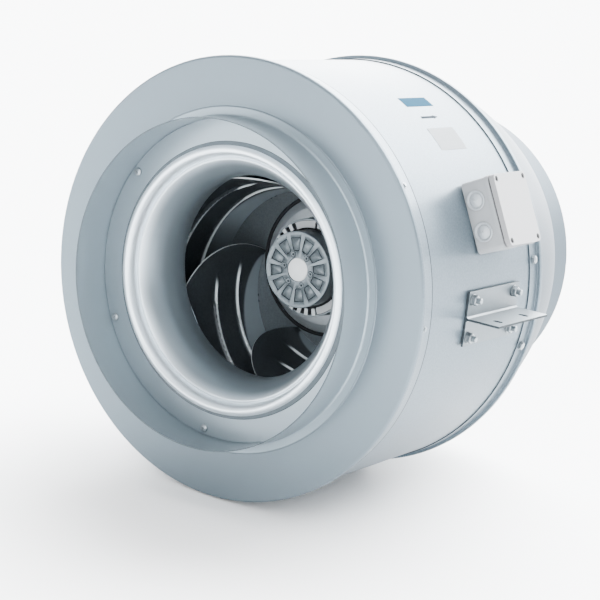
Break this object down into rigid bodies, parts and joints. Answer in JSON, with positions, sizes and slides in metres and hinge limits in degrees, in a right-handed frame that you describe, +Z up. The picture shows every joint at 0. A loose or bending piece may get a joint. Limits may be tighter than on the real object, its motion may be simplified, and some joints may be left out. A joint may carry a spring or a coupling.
{
  "type": "inline duct fan",
  "caption": "Round inline duct fan: sheet metal casing with inlet and outlet spigots, inlet nozzle, backward curved impeller on an external rotor motor, terminal box and side brackets.",
  "frame": {"origin": "on the fan axis, midway between the rims of the inlet and outlet spigots, which is the centre of the bounding box", "axes": "+Y along the fan axis in the direction of the air, inlet at -Y; +X towards the side with the terminal box; +Z up, square to the shelves of the mounting brackets"},
  "size_m": [0.7, 0.635, 0.6096],
  "materials": {
    "casing_sheet": "satin light grey coat on steel sheet",
    "nozzle_sheet": "bright zinc coated steel",
    "impeller_steel": "dark coat",
    "hub_plate_steel": "zinc coated steel",
    "rotor_casting": "cast, grey",
    "zinc_fastener": "zinc plated",
    "zinc_bracket": "zinc plated",
    "steel_bright": "ground",
    "stator_steel": "laminated",
    "copper_winding": "enamelled copper wire",
    "box_plastic": "grey",
    "lid_plastic": "light grey",
    "entry_membrane": "pale grey",
    "seal_rubber": "black",
    "terminal_plastic": "ivory",
    "cap_plastic": "pale grey"
  },
  "bodies": {
    "housing": {"inlet_spigot_tube": "casing_sheet", "front_end_plate": "casing_sheet", "drum_shell": "casing_sheet", "rear_cone": "casing_sheet", "inlet_nozzle": "nozzle_sheet", "nozzle_screw_1": "zinc_fastener", "nozzle_screw_2": "zinc_fastener", "nozzle_screw_3": "zinc_fastener", "nozzle_screw_4": "zinc_fastener", "nozzle_screw_5": "zinc_fastener", "nozzle_screw_6": "zinc_fastener", "motor_support": "zinc_bracket", "support_bolt_right_upper": "zinc_fastener", "support_bolt_right_lower": "zinc_fastener", "support_bolt_left_lower": "zinc_fastener", "support_bolt_left_upper": "zinc_fastener", "front_bearing_outer_race": "steel_bright", "rear_bearing_outer_race": "steel_bright", "bearing_wave_washer": "steel_bright", "stator_flange": "rotor_casting", "stator_core": "stator_steel", "stator_winding": "copper_winding", "motor_lead": "seal_rubber", "lead_grommet": "seal_rubber", "terminal_box_base": "box_plastic", "terminal_box_gasket": "seal_rubber", "terminal_box_lid": "lid_plastic", "lid_screw_front_upper": "zinc_fastener", "lid_screw_front_lower": "zinc_fastener", "lid_screw_rear_lower": "zinc_fastener", "lid_screw_rear_upper": "zinc_fastener", "entry_membrane_upper": "entry_membrane", "entry_membrane_lower": "entry_membrane", "terminal_block": "terminal_plastic", "run_capacitor": "cap_plastic", "right_mounting_bracket": "zinc_bracket", "right_bracket_nut_front_upper": "zinc_fastener", "right_bracket_nut_front_lower": "zinc_fastener", "right_bracket_nut_rear_upper": "zinc_fastener", "right_bracket_nut_rear_lower": "zinc_fastener", "left_mounting_bracket": "zinc_bracket", "left_bracket_nut_front_upper": "zinc_fastener", "left_bracket_nut_front_lower": "zinc_fastener", "left_bracket_nut_rear_upper": "zinc_fastener", "left_bracket_nut_rear_lower": "zinc_fastener"},
    "rotor": {"impeller_shroud": "impeller_steel", "impeller_back_plate": "hub_plate_steel", "impeller_blade_1": "impeller_steel", "impeller_blade_2": "impeller_steel", "impeller_blade_3": "impeller_steel", "impeller_blade_4": "impeller_steel", "impeller_blade_5": "impeller_steel", "rotor_bell": "rotor_casting", "rotor_cap": "cap_plastic", "rotor_shaft": "steel_bright", "shaft_circlip": "steel_bright", "front_bearing_inner_race": "steel_bright", "rear_bearing_inner_race": "steel_bright"},
    "front_cage": {"front_bearing_ball_cage": "steel_bright"},
    "rear_cage": {"rear_bearing_ball_cage": "steel_bright"}
  },
  "joints": [
    {"name": "impeller_spin", "type": "hinge", "parent": "housing", "child": "rotor", "pos_m": [0, 0, 0], "axis": [0, 1, 0], "continuous": true},
    {"name": "front_cage_spin", "type": "hinge", "parent": "housing", "child": "front_cage", "pos_m": [0, -0.0555, 0], "axis": [0, 1, 0], "continuous": true},
    {"name": "rear_cage_spin", "type": "hinge", "parent": "housing", "child": "rear_cage", "pos_m": [0, 0.0128, 0], "axis": [0, 1, 0], "continuous": true}
  ],
  "couplings": [
    {"joint": "front_cage_spin", "follows": "impeller_spin", "ratio": 0.39},
    {"joint": "rear_cage_spin", "follows": "impeller_spin", "ratio": 0.39}
  ]
}
